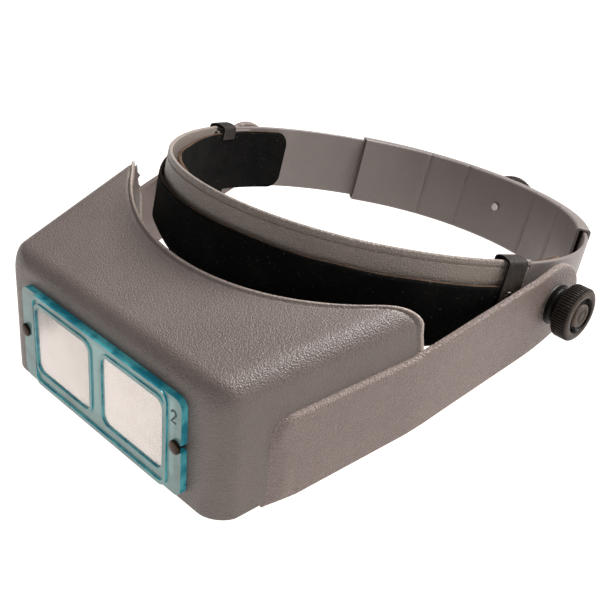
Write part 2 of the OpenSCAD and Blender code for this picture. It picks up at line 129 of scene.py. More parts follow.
# ---- materials ----
class Nodes:
    """A material's nodes: add() makes one, sets its sockets and properties, and links what is linked."""

    def __init__(self, name):
        self.made = bpy.data.materials.new(name)
        self.made.use_nodes = True
        self.tree = self.made.node_tree
        self.shader = self.tree.nodes["Principled BSDF"]
        self.place = self.add("ShaderNodeTexCoord").outputs["Object"]

    def add(self, kind, sockets=None, **properties):
        node = self.tree.nodes.new(kind)
        for key, value in properties.items():
            setattr(node, key, value)
        for key, value in (sockets or {}).items():
            self.put(node, key, value)
        return node

    def put(self, node, key, value):
        if isinstance(value, bpy.types.NodeSocket):
            self.tree.links.new(value, node.inputs[key])
        else:
            node.inputs[key].default_value = value

    def set(self, **sockets):
        for key, value in sockets.items():
            self.put(self.shader, key.replace("_", " "), value)
        return self

    def noise(self, scale, detail=3.0, roughness=0.55):
        return self.add("ShaderNodeTexNoise", {
            "Vector": self.place, "Scale": scale, "Detail": detail, "Roughness": roughness,
        }).outputs["Fac"]

    def cells(self, scale, smoothness=0.6, where=None):
        return self.add("ShaderNodeTexVoronoi", {
            "Vector": where or self.place, "Scale": scale, "Smoothness": smoothness,
        }, feature="SMOOTH_F1").outputs["Distance"]

    def ramp(self, value, low, high, start=0.0, end=1.0):
        return self.add("ShaderNodeMapRange", {
            "Value": value, "From Min": low, "From Max": high, "To Min": start, "To Max": end,
        }).outputs["Result"]

    def mix(self, share, first, second):
        node = self.add("ShaderNodeMix", data_type="RGBA")
        for index, value in ((0, share), (6, first), (7, second)):
            self.put(node, index, value)
        return node.outputs[2]

    def math(self, operation, first, second):
        return self.add("ShaderNodeMath", {0: first, 1: second}, operation=operation).outputs[0]

    def field(self, name):
        return self.add("ShaderNodeAttribute", attribute_name=name).outputs["Fac"]

    def bump(self, height, strength, distance, under=None):
        node = self.add("ShaderNodeBump", {"Height": height, "Strength": strength, "Distance": distance})
        if under:
            self.put(node, "Normal", under)
        return node.outputs["Normal"]


def rgb(*levels):
    """A colour given as sRGB levels from 0 to 255."""
    return [((v / 255 + 0.055) / 1.055) ** 2.4 if v > 10 else v / 255 / 12.92 for v in levels] + [1.0]


def scaled(colour, factor):
    return [min(1.0, factor * c) for c in colour[:3]] + [1.0]


def moulded(name, colour, pale, pebble, depth, rough, wear_and_highlight_tone=None, painted_pebble_shade=0.0, gloss=0.4):
    """Moulded plastic: a pebbled grain with painted shade in the pebbles' hollows and painted highlight on
    their crowns, broad mottling, fine scuffs, and pale wear where the mesh says so (real wear on the knobs
    and caps, painted highlight on the visor's bead and on the panel's top edge).
    """
    m = Nodes(name)
    tone = m.mix(m.ramp(m.noise(26, 3), 0.25, 0.8), colour, pale)
    tone = m.mix(m.ramp(m.noise(420, 2), 0.3, 0.75, 0.0, 0.35), tone, pale)
    bend = m.add("ShaderNodeTexNoise", {"Vector": m.place, "Scale": pebble * 0.6}).outputs["Color"]
    reach = (0.0009, 0.0009, 0.0009)
    warp = m.add("ShaderNodeVectorMath", {0: bend, 1: reach, 2: m.place}, operation="MULTIPLY_ADD")
    pebbles = m.ramp(m.cells(pebble, 0.35, warp.outputs[0]), 0.15, 0.75, 1.0, 0.0)
    # painted shade: the pebbles' hollows darker; painted highlight: their crowns lighter
    if painted_pebble_shade:
        tone = m.mix(m.ramp(pebbles, 0.0, 0.7, painted_pebble_shade, 0.0), tone, scaled(colour, 0.45))
        tone = m.mix(m.ramp(pebbles, 0.75, 1.0, 0.0, painted_pebble_shade * 0.7), tone, scaled(pale, 1.5))
    scuffs = m.noise(260, 5, 0.7)
    tone = m.mix(m.ramp(scuffs, 0.68, 0.78, 0.0, 0.3), tone, scaled(pale, 1.5))
    # pale where the mesh's attribute says: real wear on the knobs and caps, painted highlight on the visor's
    # bead and on the panel's top edge
    if wear_and_highlight_tone:
        wear_and_highlight = m.math("MULTIPLY", m.field("wear_and_highlight"), m.ramp(m.noise(700, 4), 0.22, 0.5))
        tone = m.mix(wear_and_highlight, tone, wear_and_highlight_tone)
    grain = m.bump(pebbles, depth, 0.0004)
    grain = m.bump(m.noise(pebble * 2.6, 3), depth * 0.6, 0.0002, grain)
    m.set(Base_Color=tone, Roughness=m.ramp(scuffs, 0.3, 0.8, rough - 0.08, rough + 0.1), Normal=grain)
    return m.set(Specular_IOR_Level=gloss).made


def hide(name, colour, pale, grain_size, depth, rough, sheen=0.0, gloss=0.1, lint=0.0):
    """Leather or suede: cells and wrinkles in the grain, with rubbed, paler patches and specks of lint."""
    m = Nodes(name)
    rub = m.noise(60, 5, 0.65)
    tone = m.mix(m.ramp(rub, 0.42, 0.72), colour, pale)
    tone = m.mix(m.ramp(m.noise(900, 3), 0.3, 0.8, 0.0, 0.5), tone, pale)
    if lint:
        tone = m.mix(m.ramp(m.noise(1500, 1, 0.3), 0.74, 0.82, 0.0, lint), tone, rgb(196, 192, 186))
    wrinkles = m.bump(m.noise(110, 4, 0.6), depth, 0.0012)
    grain = m.bump(m.cells(grain_size), depth, 0.0005, wrinkles)
    m.set(Base_Color=tone, Roughness=m.ramp(rub, 0.3, 0.75, rough + 0.08, rough - 0.08), Normal=grain)
    return m.set(Sheen_Weight=sheen, Sheen_Roughness=0.45, Specular_IOR_Level=gloss).made


def metal(name, colour, pale, rough):
    m = Nodes(name)
    scratches = m.noise(1400, 4, 0.7)
    tarnish = m.noise(300, 4)
    tone = m.mix(m.ramp(tarnish, 0.35, 0.7), colour, pale)
    m.set(Base_Color=tone, Metallic=1.0, Roughness=m.ramp(scratches, 0.3, 0.7, rough - 0.08, rough + 0.12))
    return m.set(Normal=m.bump(scratches, 0.12, 0.0001)).made


def acrylic(name):
    """Tinted clear plastic: light through its faces, deep at its cut edges, where the tint is also painted
    lighter, and a faint painted glow in its tint all over.
    """
    m = Nodes(name)
    lit_edge_tint = m.mix(m.ramp(m.noise(110, 3), 0.42, 0.6), rgb(96, 200, 210), rgb(24, 140, 162))
    clear = m.mix(m.ramp(m.noise(60, 4), 0.35, 0.65), rgb(138, 172, 170), rgb(118, 140, 136))
    # the cut edges take a deeper tint, painted light enough to cover the shade on the groove walls
    tint = m.mix(m.math("MINIMUM", m.field("edge"), 1.0), clear, lit_edge_tint)
    scratches = m.noise(900, 5, 0.8)
    # the emission is a painted glow: the plate shines faintly in its own tint
    m.set(Base_Color=tint, Roughness=m.ramp(scratches, 0.4, 0.8, 0.06, 0.2), IOR=1.49,
          Emission_Color=tint, Emission_Strength=0.12)
    return m.set(Transmission_Weight=0.45, Normal=m.bump(scratches, 0.04, 0.0001)).made


def glass(name):
    m = Nodes(name)
    smears = m.noise(70, 4)
    m.set(Base_Color=m.mix(m.ramp(smears, 0.3, 0.7), rgb(226, 218, 212), rgb(236, 229, 224)), IOR=1.5)
    return m.set(Roughness=m.ramp(smears, 0.4, 0.8, 0.16, 0.24), Transmission_Weight=0.75).made


PEBBLES = 1500  # grain of the moulded plastic, to the metre
# the worn tone here is painted highlight on the bead's crown
GREY = moulded("grey pebbled plastic", rgb(100, 89, 84), rgb(114, 102, 96), PEBBLES, 0.5, 0.42,
               wear_and_highlight_tone=rgb(176, 160, 150), painted_pebble_shade=0.12, gloss=0.6)
# a lighter copy of the grey plastic: painted light making up for the shade on the front strap
STRAP_GREY_PAINTED_LIGHTER = moulded("grey strap plastic painted lighter", rgb(136, 125, 117), rgb(151, 139, 130), PEBBLES, 0.9, 0.42,
                     painted_pebble_shade=0.2, gloss=0.5)
# the worn tone here is painted highlight on the panel's top edge
ARM_GREY = moulded("grey satin plastic", rgb(126, 110, 104), rgb(141, 124, 117), PEBBLES, 0.9, 0.4,
                   wear_and_highlight_tone=rgb(190, 172, 163), painted_pebble_shade=0.22, gloss=0.6)
SMOOTH_GREY = moulded("grey smooth plastic", rgb(107, 98, 95), rgb(121, 112, 108), PEBBLES, 0.12, 0.44)
KNOB_BLACK = moulded("black knob plastic", rgb(14, 12, 11), rgb(23, 20, 18), 1300, 0.2, 0.38,
                     wear_and_highlight_tone=rgb(112, 94, 82), gloss=0.12)
CAP_BLACK = moulded("black cap plastic", rgb(54, 46, 41), rgb(74, 64, 57), 1300, 0.2, 0.5,
                    wear_and_highlight_tone=rgb(112, 98, 88), gloss=0.12)
IVORY = moulded("ivory plastic", rgb(206, 200, 186), rgb(222, 217, 205), PEBBLES, 0.15, 0.45)
RUBBER = moulded("black rubber", rgb(22, 22, 24), rgb(34, 34, 36), 1800, 0.3, 0.7)
SUEDE = hide("black leather", rgb(6, 6, 6), rgb(15, 14, 13), 1300, 0.4, 0.85, gloss=0.06, lint=0.2)
LOOP_HIDE = hide("loop leather", rgb(22, 18, 15), rgb(56, 46, 40), 1300, 0.6, 0.5, gloss=0.25, lint=0.25)
FLESH = hide("flesh side of the leather", rgb(96, 72, 56), rgb(130, 100, 78), 1800, 0.5, 0.9, 0.05)
CUT_EDGE = hide("cut edge of the leather", rgb(62, 47, 38), rgb(104, 82, 66), 2400, 0.6, 0.85)
LOOP_EDGE = hide("cut edge of the loop", rgb(18, 16, 15), rgb(38, 34, 31), 2400, 0.5, 0.8)
BRONZE = metal("dark bronze", rgb(44, 36, 31), rgb(70, 59, 50), 0.3)
STUD_METAL = metal("blackened stud", rgb(70, 66, 62), rgb(104, 98, 92), 0.26)
STEEL = metal("bright steel", rgb(196, 194, 188), rgb(226, 224, 218), 0.26)
DARK_STEEL = metal("dark steel", rgb(110, 108, 106), rgb(142, 139, 135), 0.4)
ACRYLIC = acrylic("teal acrylic")
GLASS = glass("lens glass")
INK = moulded("dark moulded figure", rgb(24, 44, 50), rgb(36, 60, 66), PEBBLES, 0.1, 0.5)


# ---- mesh helpers ----
def piece(name, mesh, place, body, finishes, slot=None, stands_for=(), sharp=35):
    """Puts a mesh made in millimetres into the frame, on its body. mesh is a bmesh or (vertices, faces)."""
    made = bpy.data.meshes.new(name)
    if isinstance(mesh, tuple):
        made.from_pydata([Vector(v) for v in mesh[0]], [], mesh[1])
    else:
        mesh.to_mesh(made)
        mesh.free()
    made.transform(place)
    made.polygons.foreach_set("use_smooth", [True] * len(made.polygons))
    made.set_sharp_from_angle(angle=radians(sharp))
    for finish in finishes if isinstance(finishes, list) else [finishes]:
        made.materials.append(finish)
    obj = bpy.data.objects.new(name, made)
    bpy.context.scene.collection.objects.link(obj)
    if body:
        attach(obj, body)
    if stands_for:
        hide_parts(*stands_for)
    return obj


def rounded(obj, width, segments=3, angle=35):
    """Bevels the sharp edges of a piece by a width in millimetres."""
    bevel = obj.modifiers.new("edges", "BEVEL")
    bevel.width, bevel.segments, bevel.angle_limit = width / 1000, segments, radians(angle)
    bevel.limit_method, bevel.harden_normals, bevel.use_clamp_overlap = "ANGLE", True, True
    return obj


def thick(obj, thickness, offset=-1, inner=0, rim=0):
    shell = obj.modifiers.new("thickness", "SOLIDIFY")
    shell.thickness, shell.offset, shell.use_even_offset = thickness / 1000, offset, True
    shell.material_offset, shell.material_offset_rim = inner, rim
    return obj


def bm_of(vertices, faces):
    bm = bmesh.new()
    made = [bm.verts.new(v) for v in vertices]
    for face in faces:
        corners = [made[i] for i in face]
        if len(set(corners)) == len(corners):
            bm.faces.new(corners)
    return bm


def grid_faces(rows, columns, wrap_rows=False, wrap_columns=False, keep=None):
    """Quads of a grid whose vertices are numbered row by row."""
    faces = []
    for i in range(rows if wrap_rows else rows - 1):
        for j in range(columns if wrap_columns else columns - 1):
            a, b = (i + 1) % rows, (j + 1) % columns
            if keep is None or keep(i, j):
                faces.append((i * columns + j, i * columns + b, a * columns + b, a * columns + j))
    return faces


def spread(start, end, count):
    return [start + (end - start) * i / count for i in range(count + 1)]


def lathe(profile, steps=72, ribs=0, rib_depth=0.0):
    """Turns a profile of (x, radius, rib share) about X. Ribs stand out by rib_depth where the share is 1."""
    steps = ribs * 8 if ribs else steps
    vertices = []
    for x, r, share in [(*p, 0.0) if len(p) == 2 else p for p in profile]:
        for k in range(steps):
            a = 2 * math.pi * k / steps
            wave = 0.5 + 0.5 * math.cos(a * ribs) if ribs else 0.0
            out = r - share * rib_depth * (1 - min(1.0, 1.6 * wave) ** 0.7)
            vertices.append((x, out * math.cos(a), out * math.sin(a)))
    bm = bm_of(vertices, [tuple(reversed(f)) for f in grid_faces(len(profile), steps, wrap_columns=True)])
    bmesh.ops.remove_doubles(bm, verts=bm.verts, dist=1e-4)
    bmesh.ops.recalc_face_normals(bm, faces=bm.faces)
    return bm


def mirrored(place, side):
    return place if side > 0 else place @ Matrix.Scale(-1, 4, (1, 0, 0))


def turned_piece(name, profile, place, body, finish, slot, stands_for=(), side=1, wear_and_highlight=None, **options):
    """A lathe piece. On the far side it is mirrored. wear gives a vertex's wear from its place."""
    bm = lathe(profile, **options)
    if wear_and_highlight:
        layer = bm.verts.layers.float.new("wear_and_highlight")
        for v in bm.verts:
            v[layer] = wear_and_highlight(v.co)
    if side < 0:
        bmesh.ops.scale(bm, vec=(-1, 1, 1), verts=bm.verts)
        bmesh.ops.reverse_faces(bm, faces=bm.faces)
    return piece(name, bm, place, body, finish, slot, stands_for, sharp=50)


def arc(cx, cy, r, a0, a1, n):
    return [(cx + r * math.cos(radians(a)), cy + r * math.sin(radians(a))) for a in spread(a0, a1, n)]


def round_rect(w, h, r, x=0.0, y=0.0, n=6):
    return [p for sx, sy, a in ((1, 1, 0), (-1, 1, 90), (-1, -1, 180), (1, -1, 270))
            for p in arc(x + sx * (w / 2 - r), y + sy * (h / 2 - r), r, a, a + 90, n)]


def sheet_metal(outlines, low, high, bevel=0.0, bevel_segments=2):
    """A flat plate between two heights, cut to its outlines: the first is the outside, the rest are holes."""
    curve = bpy.data.curves.new("outline", "CURVE")
    curve.dimensions, curve.fill_mode = "2D", "BOTH"
    for outline in outlines:
        spline = curve.splines.new("POLY")
        spline.points.add(len(outline) - 1)
        for point, (x, y) in zip(spline.points, outline):
            point.co = (x, y, 0, 1)
        spline.use_cyclic_u = True
    curve.extrude = (high - low) / 2 - bevel
    curve.bevel_depth, curve.bevel_resolution, curve.offset = bevel, bevel_segments, -bevel
    holder = bpy.data.objects.new("outline", curve)
    bpy.context.scene.collection.objects.link(holder)
    made = bpy.data.meshes.new_from_object(holder)
    bm = bmesh.new()
    bm.from_mesh(made)
    bpy.data.objects.remove(holder)
    bpy.data.meshes.remove(made)
    bpy.data.curves.remove(curve)
    bmesh.ops.remove_doubles(bm, verts=bm.verts, dist=1e-4)
    bmesh.ops.translate(bm, vec=(0, 0, (low + high) / 2), verts=bm.verts)
    bmesh.ops.recalc_face_normals(bm, faces=bm.faces)
    return bm


def join(*meshes):
    """Several bmeshes as one."""
    whole = bmesh.new()
    for bm in meshes:
        part = bpy.data.meshes.new("part")
        bm.to_mesh(part)
        bm.free()
        whole.from_mesh(part)
        bpy.data.meshes.remove(part)
    return whole


# ---- visor shell ----
def smooth_step(x):
    x = max(0.0, min(1.0, x))
    return x * x * (3 - 2 * x)


def roof(y):
    return ROOF_Z + ROOF_SLOPE * (y - WALL_Y)


def side_x(y):
    return FRONT_HALF + FLARE * (y - WALL_Y)


def side_low(y):
    sill_end = WALL_Y + SILL_LEN
    if y < sill_end:
        return SILL_Z + (y - WALL_Y) * math.tan(radians(VISOR_PITCH))
    low = SILL_Z + SILL_LEN * math.tan(radians(VISOR_PITCH))
    return low + (SIDE_END_Z - low) * (y - sill_end) / (SIDE_END_Y - sill_end)


def side_end(z):
    """Rear edge of the side, which leans forward above the arm."""
    lean = (z - NOTCH_Z) / (roof(TIP_Y) - HORN_R - NOTCH_Z)
    return SIDE_END_Y - HORN_STEP * max(0.0, min(1.0, lean))


def visor_shell():
    steps = {"left": 16, "left turn": 8, "top": 64, "right turn": 8, "right": 16}
    low = spread(0, 1, 24)
    # stations round the loop: which part of it, and how far along that part
    loop = [("low", s) for s in low[12:-1]]
    loop += [(part, s) for part, count in steps.items() for s in spread(0, 1, count)[:-1]]
    loop += [("low", s) for s in low[:12]]

    def section(part, s, y, in_x=0.0, in_z=0.0):
        """A point of the loop at depth y, pulled in from the sides and from the roof, and its way out."""
        x, z, base, r = side_x(y) - in_x, roof(y) - in_z, side_low(y), TOP_ROUND
        if part == "low":
            return Vector((-x + 2 * x * (1 - s), y, base)), Vector((0, 0, 0))
        if part == "left":
            return Vector((-x, y, base + (z - r - base) * s)), Vector((-1, 0, 0))
        if part == "right":
            return Vector((x, y, z - r - (z - r - base) * s)), Vector((1, 0, 0))
        if part == "top":
            return Vector((-(x - r) + 2 * (x - r) * s, y, z)), Vector((0, 0, 1))
        a = radians(90 * s) if part == "left turn" else radians(90 * (1 - s))
        way = Vector((-math.cos(a) if part == "left turn" else math.cos(a), 0, math.sin(a)))
        return Vector((-(x - r) if part == "left turn" else x - r, y, z - r)) + r * way, way

    def opening_point(part, s):
        """A point of the opening behind the lens plate."""
        x, z0, z1 = 49.0, -49.0, -11.0
        spots = {"low": (x - 2 * x * s, z0), "left": (-x, z0 + (z1 - z0) * s), "left turn": (-x, z1),
                 "top": (-x + 2 * x * s, z1), "right turn": (x, z1), "right": (x, z1 - (z1 - z0) * s)}
        return Vector((spots[part][0], WALL_Y, spots[part][1]))

    front_rows, turn_rows, body_rows = 4, 9, 40
    # the bead along the rear edges: how far from the edge, and what share of its height
    bead = ((3.6, 0.0), (2.9, -0.5), (2.3, -0.4), (1.8, 0.5), (1.2, 1.0), (0.6, 0.95), (0.2, 0.6), (0.0, 0.1))
    columns = []
    for part, s in loop:
        turned = {"left turn": s, "right turn": 1 - s, "top": 1.0}.get(part, 0.0)
        front = CORNER_ROUND + (FRONT_ROUND - CORNER_ROUND) * turned
        ring = section(part, s, WALL_Y, CORNER_ROUND, FRONT_ROUND)[0]
        hole = opening_point(part, s)
        line = [hole.lerp(ring, k / front_rows) for k in range(front_rows)]
        for a in spread(0, 90, turn_rows):
            tuck = 1 - math.sin(radians(a))
            back = front * (1 - math.cos(radians(a)))
            line.append(section(part, s, WALL_Y + back, CORNER_ROUND * tuck, FRONT_ROUND * tuck)[0])
        start = WALL_Y + front
        end, lip = TIP_Y, 0.7
        if part == "top":
            # the cut-out for the forehead, found along the line of this station
            for _ in range(30):
                x = abs(section(part, s, end)[0].x)
                end = min(TIP_Y, -math.sqrt(max(0.0, BROW_R ** 2 - x ** 2)))
        elif "turn" in part:
            end = TIP_Y + HORN_R * math.cos(radians(90 * turned))
        elif part != "low":
            share = s if part == "left" else 1 - s
            end = SIDE_END_Y
            for _ in range(8):
                z = side_low(end) + (roof(end) - TOP_ROUND - side_low(end)) * share
                end = side_end(z)
            lip = 0.5 * smooth_step((z - NOTCH_Z) / 2)
        else:
            lip = 0.0
        for k in range(1, body_rows):
            line.append(section(part, s, start + (end - bead[0][0] - start) * k / body_rows)[0])
        for back, share in bead:
            point, way = section(part, s, end - back)
            line.append(point + lip * share * way)
        columns.append(line)
    count = len(columns[0])

    def keep(i, j):  # the shell is open underneath
        return loop[i][0] != "low" or j < front_rows

    faces = grid_faces(len(columns), count, wrap_rows=True, keep=keep)
    bm = bm_of([p for line in columns for p in line], faces)
    wear_and_highlight = bm.verts.layers.float.new("wear_and_highlight")
    for k, v in enumerate(bm.verts):  # the bead's crown is painted pale: a painted highlight
        v[wear_and_highlight] = 0.9 if k % count >= count - 4 and loop[k // count][0] != "low" else 0.0
    bmesh.ops.remove_doubles(bm, verts=bm.verts, dist=0.01)
    bmesh.ops.delete(bm, geom=[v for v in bm.verts if not v.link_faces], context="VERTS")
    bmesh.ops.recalc_face_normals(bm, faces=bm.faces)
    front = min(bm.faces, key=lambda f: f.calc_center_median().y)
    if front.normal.y > 0:
        bmesh.ops.reverse_faces(bm, faces=bm.faces)
    obj = piece("visor_shell_skin", bm, VISOR, "visor", GREY, "visor_plastic", ["visor_shell"], sharp=50)
    rounded(thick(obj, WALL), 0.5, 2, 50)


visor_shell()


def horn_teeth(side):
    """Two catch teeth behind a horn, on the inside of the side."""
    heights, half, foot_y, tip_y = (3.4, 9.2), 2.8, SIDE_END_Y - 3.2, SIDE_END_Y - 0.8
    bms = []
    for z in heights:
        triangle = [(foot_y, z - half), (tip_y, z), (foot_y, z + half)]
        bm = sheet_metal([triangle], REAR_HALF - WALL - 0.9, REAR_HALF - 1)
        for v in bm.verts:
            v.co = (side * v.co.z, v.co.x, v.co.y)
        bmesh.ops.recalc_face_normals(bm, faces=bm.faces)
        bms.append(bm)
    name = "left" if side > 0 else "right"
    obj = piece(f"horn_teeth_{name}", join(*bms), VISOR, "visor", ARM_GREY, "visor_plastic", ["visor_shell"])
    rounded(obj, 0.25, 2)


for side in (1, -1):
    horn_teeth(side)


# ---- arms ----
def arm_out(y):
    """The arm's outer face: it leaves the side, then runs parallel to the middle plane."""
    side = side_x(min(y, SIDE_END_Y)) + PANEL_RISE
    if y <= SIDE_END_Y:
        return side
    share = (y - SIDE_END_Y) / (PAD_Y - SIDE_END_Y)
    return side + (ARM_X - side) * min(1.0, share)


PANEL_TOP_Y = PANEL_Y + 7  # where the line of the panel's top edge passes PANEL_TOP_Z
PANEL_SLOPE = math.atan2(NOTCH_Z - PANEL_TOP_Z, SIDE_END_Y - PANEL_TOP_Y)


def panel_line(y):
    """Top edge of the raised panel on the side."""
    return NOTCH_Z + (y - SIDE_END_Y) * math.tan(PANEL_SLOPE)


def panel_sink(y, z):
    """How far the panel's face lies under its full rise: it slopes up from the side at its front and top."""
    front, top = y - PANEL_Y, (panel_line(y) - z) * math.cos(PANEL_SLOPE)
    inside = min(front, top)
    if front < PANEL_CORNER and top < PANEL_CORNER:
        inside = PANEL_CORNER - math.hypot(PANEL_CORNER - front, PANEL_CORNER - top)
    low = smooth_step((panel_line(y) - 6 - z) / 26)
    ramp = 1.9 + (0.9 + 12 * low) * max(0.0, min(1.0, top / (max(0.0, front) + max(0.0, top) + 0.001)))
    share = max(0.0, min(1.0, inside / ramp))
    return (PANEL_RISE + 0.05) * (1 - share * (1.45 - 0.45 * share))


def arm_slab(side):
    """An arm and the raised panel in front of it: a flat plate bent to follow the side, then straight."""
    edge, margin = 1.1, 1.1
    corner_y = PANEL_Y + PANEL_CORNER
    corner = (corner_y - margin, panel_line(corner_y) - PANEL_CORNER / math.cos(PANEL_SLOPE) + margin)
    outline = [(PANEL_Y - margin, PANEL_LOW_Z), ARM_LOW]
    outline += arc(0, 0, ARM_END_R, ARM_SLOPE - 90, ARM_SLOPE + 90, 40)
    outline += [(SIDE_END_Y, NOTCH_Z), (SIDE_END_Y - 3, panel_line(SIDE_END_Y - 3) + margin)]
    outline += arc(*corner, PANEL_CORNER, 90 + math.degrees(PANEL_SLOPE), 180, 12)
    hole = [(BOLT_R * math.cos(a), BOLT_R * math.sin(a)) for a in spread(0, 2 * math.pi, 32)[:-1]]
    bm = sheet_metal([outline, hole], -ARM_T, 0.0, edge, 4)
    cuts = [((y, 0, 0), (1, 0, 0)) for y in spread(-141, -75, 44) + spread(-72, 15, 29)]
    lean = (-math.sin(PANEL_SLOPE), math.cos(PANEL_SLOPE), 0)
    # cuts along the panel's top edge, closest together near it
    for down in (0.2, 0.7, 1.2, 1.8, 2.4, 3, 4.5, 7, 11, 16, 22, 28, 34):
        cuts.append(((SIDE_END_Y, NOTCH_Z - down / math.cos(PANEL_SLOPE), 0), lean))
    for place, normal in cuts:
        everything = bm.verts[:] + bm.edges[:] + bm.faces[:]
        bmesh.ops.bisect_plane(bm, geom=everything, plane_co=place, plane_no=normal)
    wear_and_highlight = bm.verts.layers.float.new("wear_and_highlight")
    for v in bm.verts:
        along, up, out = v.co
        soft = sum(arm_out(along + d) for d in (-6, -3, 0, 3, 6)) / 5
        on_side = smooth_step((SIDE_END_Y + 0.5 - along) / 5)
        out *= 1 - 0.4 * on_side
        sunk = panel_sink(along, up) * on_side
        share = sunk / PANEL_RISE
        # the panel's top edge is painted pale: a painted highlight on its bevel
        on_top = smooth_step((along - PANEL_Y - 5) / 6) if out > -0.9 else 0.0
        v[wear_and_highlight] = on_top * max(0.0, 2.4 * share * (1 - share))
        v.co = (side * (soft + out - sunk), along, up)
    if side > 0:
        bmesh.ops.reverse_faces(bm, faces=bm.faces)
    bmesh.ops.recalc_face_normals(bm, faces=bm.faces)
    name = "visor_arm_left" if side > 0 else "visor_arm_right"
    piece(name, bm, VISOR, "visor", ARM_GREY, "visor_plastic", ["visor_shell"], sharp=40)


for side in (1, -1):
    arm_slab(side)


# ---- lens plate ----
SLOT_R = PIN_R + 0.15
BASE_TOP, RIM_FOOT = -0.95, -1.3  # heights of the plate's flat face, and of the foot of the rims on it


def far_slot():
    """The outline of the closed slot that the far pin passes through."""
    return arc(-PIN_X, PIN_Z, SLOT_R, -90, 90, 8) + arc(-PIN_X - 1, PIN_Z, SLOT_R, 90, 270, 8)


def plate_outline(w, h, r):
    """The plate's outside, with the slot for the near pin open to its edge."""
    slot = arc(PIN_X, PIN_Z, SLOT_R, 270, 90, 8)
    return round_rect(w, h, r) + [(w / 2, PIN_Z - SLOT_R)] + slot + [(w / 2, PIN_Z + SLOT_R)]


def ring(w, h, r, width, low, high, x=0.0, z=0.0):
    """A raised frame of one width on the plate's face, outside a rounded rectangle."""
    outside = round_rect(w + 2 * width, h + 2 * width, r + width, x, z)
    return sheet_metal([outside, round_rect(w, h, r, x, z)], low, high)


def mark_edges(bm):
    """Marks the cut edges of a plate, where the tint shows deep and is painted lighter."""
    layer = bm.faces.layers.float.new("edge")
    for f in bm.faces:
        f[layer] = 1.0 if abs(f.normal.z) < 0.6 else 0.0


def lens_plate():
    openings = [round_rect(WINDOW_W, WINDOW_H, CORNER_R, s * EYE_HALF, WINDOW_Z) for s in (1, -1)]
    outlines = [plate_outline(PLATE_W, PLATE_H, CORNER_R), *openings, far_slot()]
    base = sheet_metal(outlines, -PLATE_T + 0.05, BASE_TOP)
    parts = [base, ring(2 * TAB_X - 3.6, PLATE_H - 3.6, 3.0, 1.75, RIM_FOOT, -0.05)]
    for s in (1, -1):
        parts.append(ring(WINDOW_W, WINDOW_H, CORNER_R, 1.7, RIM_FOOT, -0.3, s * EYE_HALF, WINDOW_Z))
    for bm in parts:
        mark_edges(bm)
    obj = piece("lens_plate", join(*parts), PLATE, "visor", ACRYLIC, "plate_acrylic", ["lens_plate_frame"])
    rounded(obj, 0.42, 3, 50)


def plate_figure():
    """The moulded figure 2 on the near tab, drawn as a stroke."""
    height, stroke = 5.2, 0.4
    r = height * 0.26
    line = arc(0, height - r, r, 165, -35, 10) + [(-r, 0), (r, 0)]
    left, right = [], []
    for k, (x, y) in enumerate(line):
        a, b = line[max(0, k - 1)], line[min(len(line) - 1, k + 1)]
        way = Vector((b[0] - a[0], b[1] - a[1])).normalized() * stroke
        left.append((x - way.y, y + way.x))
        right.append((x + way.y, y - way.x))
    bm = sheet_metal([left + right[::-1]], BASE_TOP - 0.01, BASE_TOP + 0.15)
    tab_x, tab_z = 50.4, 11.4
    place = PLATE @ Matrix.Translation((tab_x, tab_z, 0))
    piece("plate_figure", bm, place, "visor", INK, "plate_acrylic", ["lens_plate_frame"])


lens_plate()
plate_figure()


def lens(side):
    """A lens with a bulging front of one radius and a flat back, seated a little wider than its window."""
    bulge, seat, middle, rings = 260.0, 0.95, 3.8, 14
    outline = round_rect(WINDOW_W + 2 * seat, WINDOW_H + 2 * seat, CORNER_R, n=8)
    sag = bulge - middle
    vertices, count = [], len(outline)
    for flat in (False, True):
        for k in range(1, rings + 1):
            for x, y in outline:
                x, y = x * k / rings, y * k / rings
                vertices.append((x, y, 0.0 if flat else math.sqrt(bulge ** 2 - x * x - y * y) - sag))
    vertices += [(0, 0, bulge - sag), (0, 0, 0)]
    front, back = len(vertices) - 2, len(vertices) - 1
    faces = grid_faces(rings, count, wrap_columns=True)
    faces += [tuple(i + rings * count for i in reversed(f)) for f in faces]
    edge, back_edge = (rings - 1) * count, (2 * rings - 1) * count
    for k in range(count):
        n = (k + 1) % count
        faces += [(front, k, n), (back, rings * count + n, rings * count + k)]
        faces.append((edge + n, edge + k, back_edge + k, back_edge + n))
    bm = bm_of(vertices, faces)
    bmesh.ops.recalc_face_normals(bm, faces=bm.faces)
    name = "left" if side > 0 else "right"
    place = PLATE @ Matrix.Translation((side * EYE_HALF, WINDOW_Z, -PLATE_T + 0.1))
    piece(f"lens_glass_{name}", bm, place, "visor", GLASS, "lens_glass", [f"lens_{name}"])


def lens_pin(side):
    """A pin with a domed head, which stands on the plate and reaches through the visor's wall."""
    z0, seat, head, dome_h = -PLATE_T - WALL - 2.5, -0.8, 1.8, 0.75
    dome = [(seat + head - dome_h + dome_h * math.sin(radians(a)), PIN_HEAD_R * math.cos(radians(a)))
            for a in spread(0, 90, 6)]
    profile = [(z0, 0), (z0, PIN_R - 0.3), (z0 + 0.3, PIN_R), (seat, PIN_R)]
    profile += [(seat, PIN_HEAD_R - 0.2), (seat + 0.2, PIN_HEAD_R), *dome[:-1], (seat + head, 0.0)]
    name = "left" if side > 0 else "right"
    place = PLATE @ Matrix.Translation((side * PIN_X, PIN_Z, 0)) @ Matrix.Rotation(radians(-90), 4, "Y")
    turned_piece(f"pin_{name}", profile, place, "visor", BRONZE, "pin_metal", [f"lens_pin_{name}"], steps=40)


for side in (1, -1):
    lens(side)
    lens_pin(side)


# ---- knobs ----
SUNK, BORE_STOP = 2.6, 3.0  # depths of the ring in a knob's face and of the end of its bore


